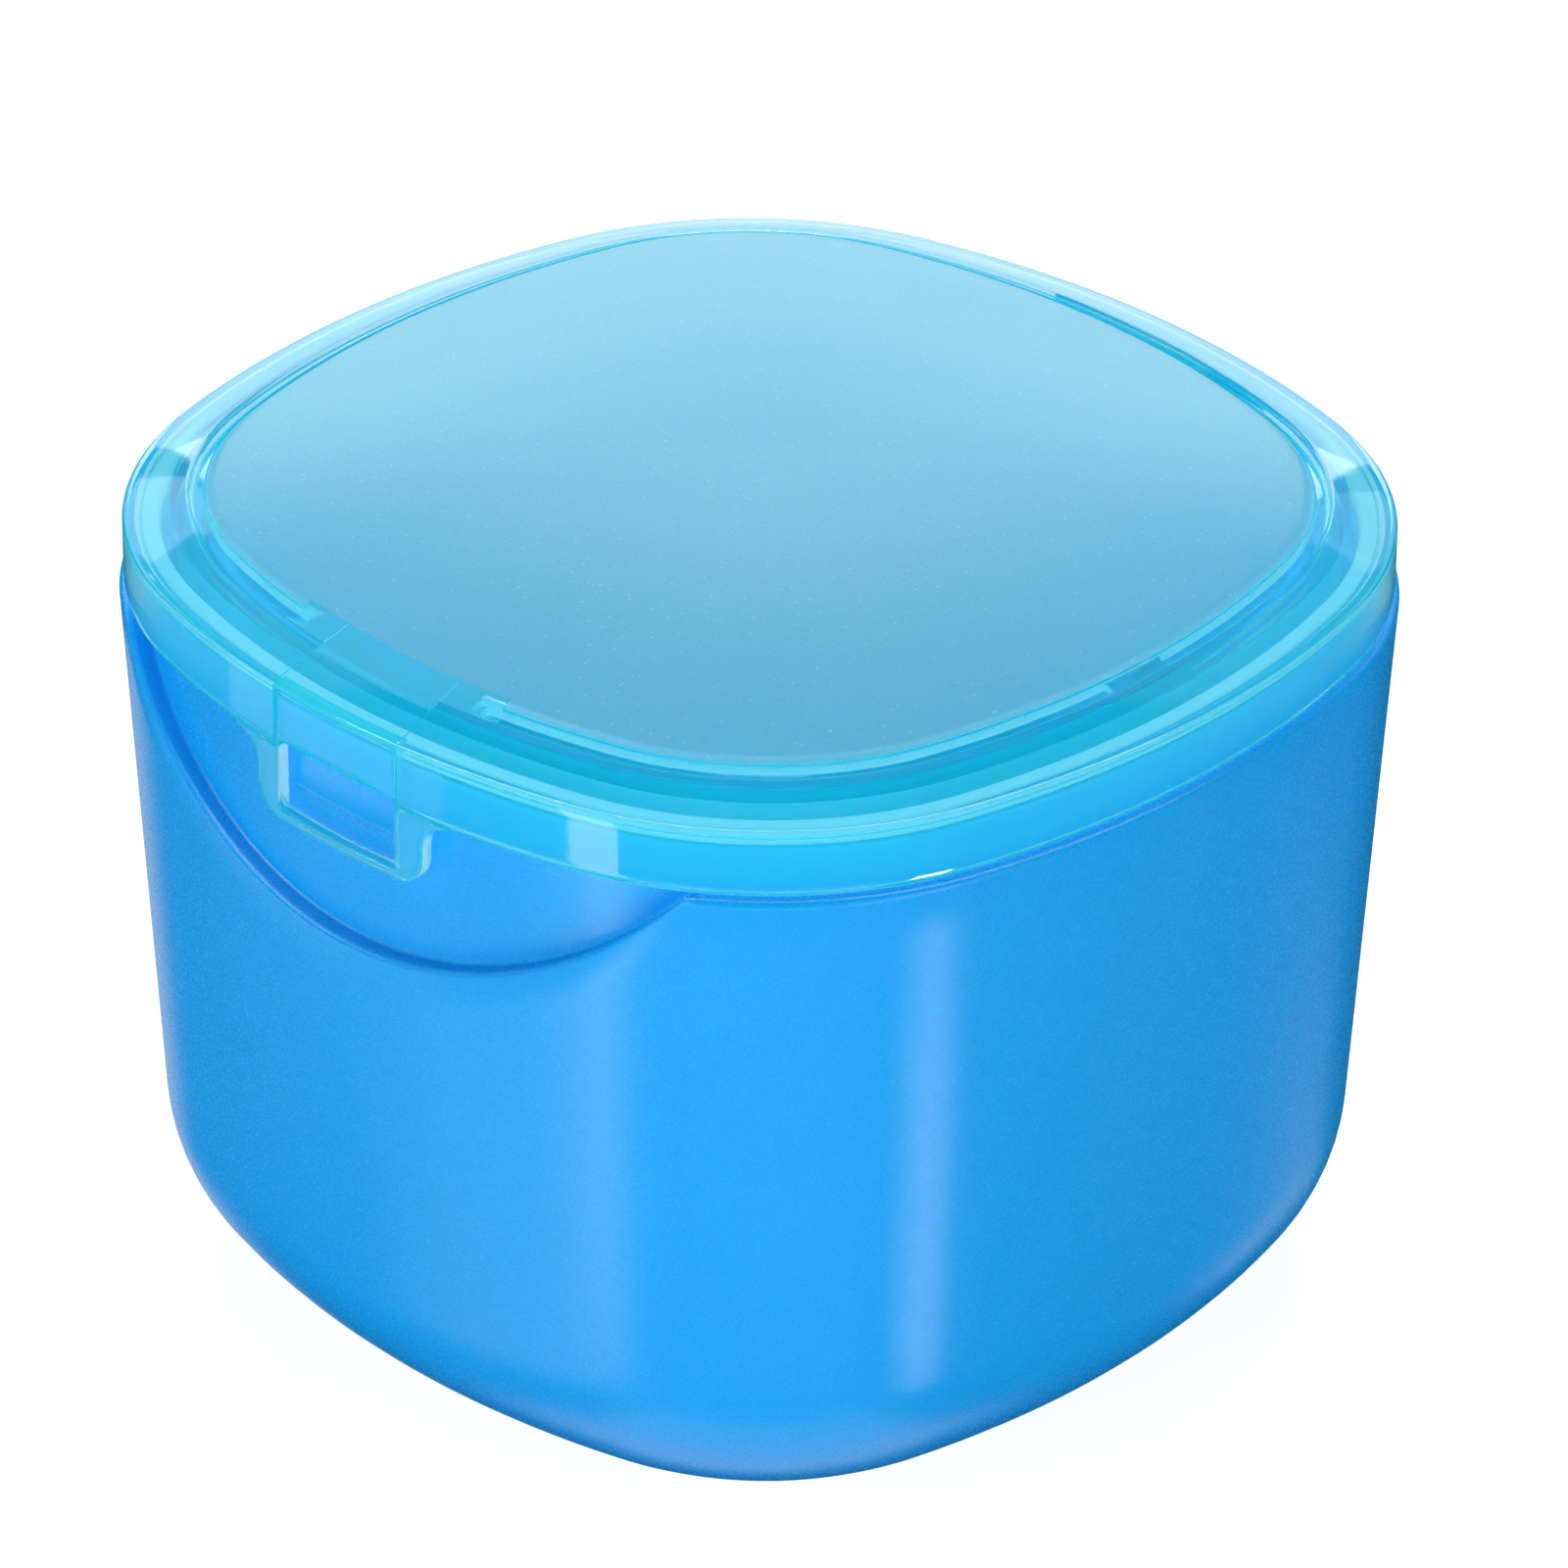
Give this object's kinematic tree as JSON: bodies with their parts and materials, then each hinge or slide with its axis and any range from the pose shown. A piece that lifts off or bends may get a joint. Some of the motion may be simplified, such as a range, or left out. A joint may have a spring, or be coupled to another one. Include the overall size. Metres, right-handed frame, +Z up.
{
  "type": "denture case",
  "caption": "Rounded square denture case: a satin blue tub with a thumb scoop, a hinged clear aqua lid with a snap latch, and a strainer basket inside.",
  "frame": {"origin": "middle of the flat base face that the case stands on", "axes": "+Z up, -Y towards the latch at the front, +Y towards the hinge at the back, +X to the right seen from the front"},
  "size_m": [0.0908, 0.0934, 0.0706],
  "materials": {
    "blue_plastic": "moulded polypropylene, satin from a finely spark-eroded mould",
    "clear_aqua_plastic": "clear aqua moulding, polished, with a frosted panel on top",
    "clear_aqua_latch": "clear aqua moulding, polished",
    "silicone": "translucent silicone",
    "pin_steel": "drawn stainless rod",
    "basket_plastic": "moulded polypropylene, satin",
    "handle_plastic": "moulded polypropylene, satin"
  },
  "bodies": {
    "tub": {"case_body": "blue_plastic", "hinge_pin": "pin_steel"},
    "lid": {"lid": "clear_aqua_plastic", "lid_seal": "silicone"},
    "latch": {"latch_tab": "clear_aqua_latch"},
    "basket": {"strainer_basket": "basket_plastic"},
    "handle": {"basket_handle": "handle_plastic"}
  },
  "joints": [
    {"name": "lid_hinge", "type": "hinge", "parent": "tub", "child": "lid", "pos_m": [0, 0.04706, 0.0596], "axis": [-1, 0, 0], "range_deg": [0, 110]},
    {"name": "latch_flex", "type": "hinge", "parent": "lid", "child": "latch", "pos_m": [0, -0.04395, 0.0639], "axis": [-1, 0, 0], "range_deg": [0, 7], "stiffness_Nm_per_rad": 0.004},
    {"name": "basket_lift", "type": "slide", "parent": "tub", "child": "basket", "axis": [0, 0, 1], "range_m": [0, 0.0195]},
    {"name": "handle_swing", "type": "hinge", "parent": "basket", "child": "handle", "pos_m": [0, 0, 0.058], "axis": [-1, 0, 0], "range_deg": [0, 90]}
  ],
  "couplings": [
    {"joint": "basket_lift", "follows": "lid_hinge", "m_per_rad": 0.01},
    {"joint": "handle_swing", "follows": "lid_hinge", "ratio": 0.8}
  ]
}
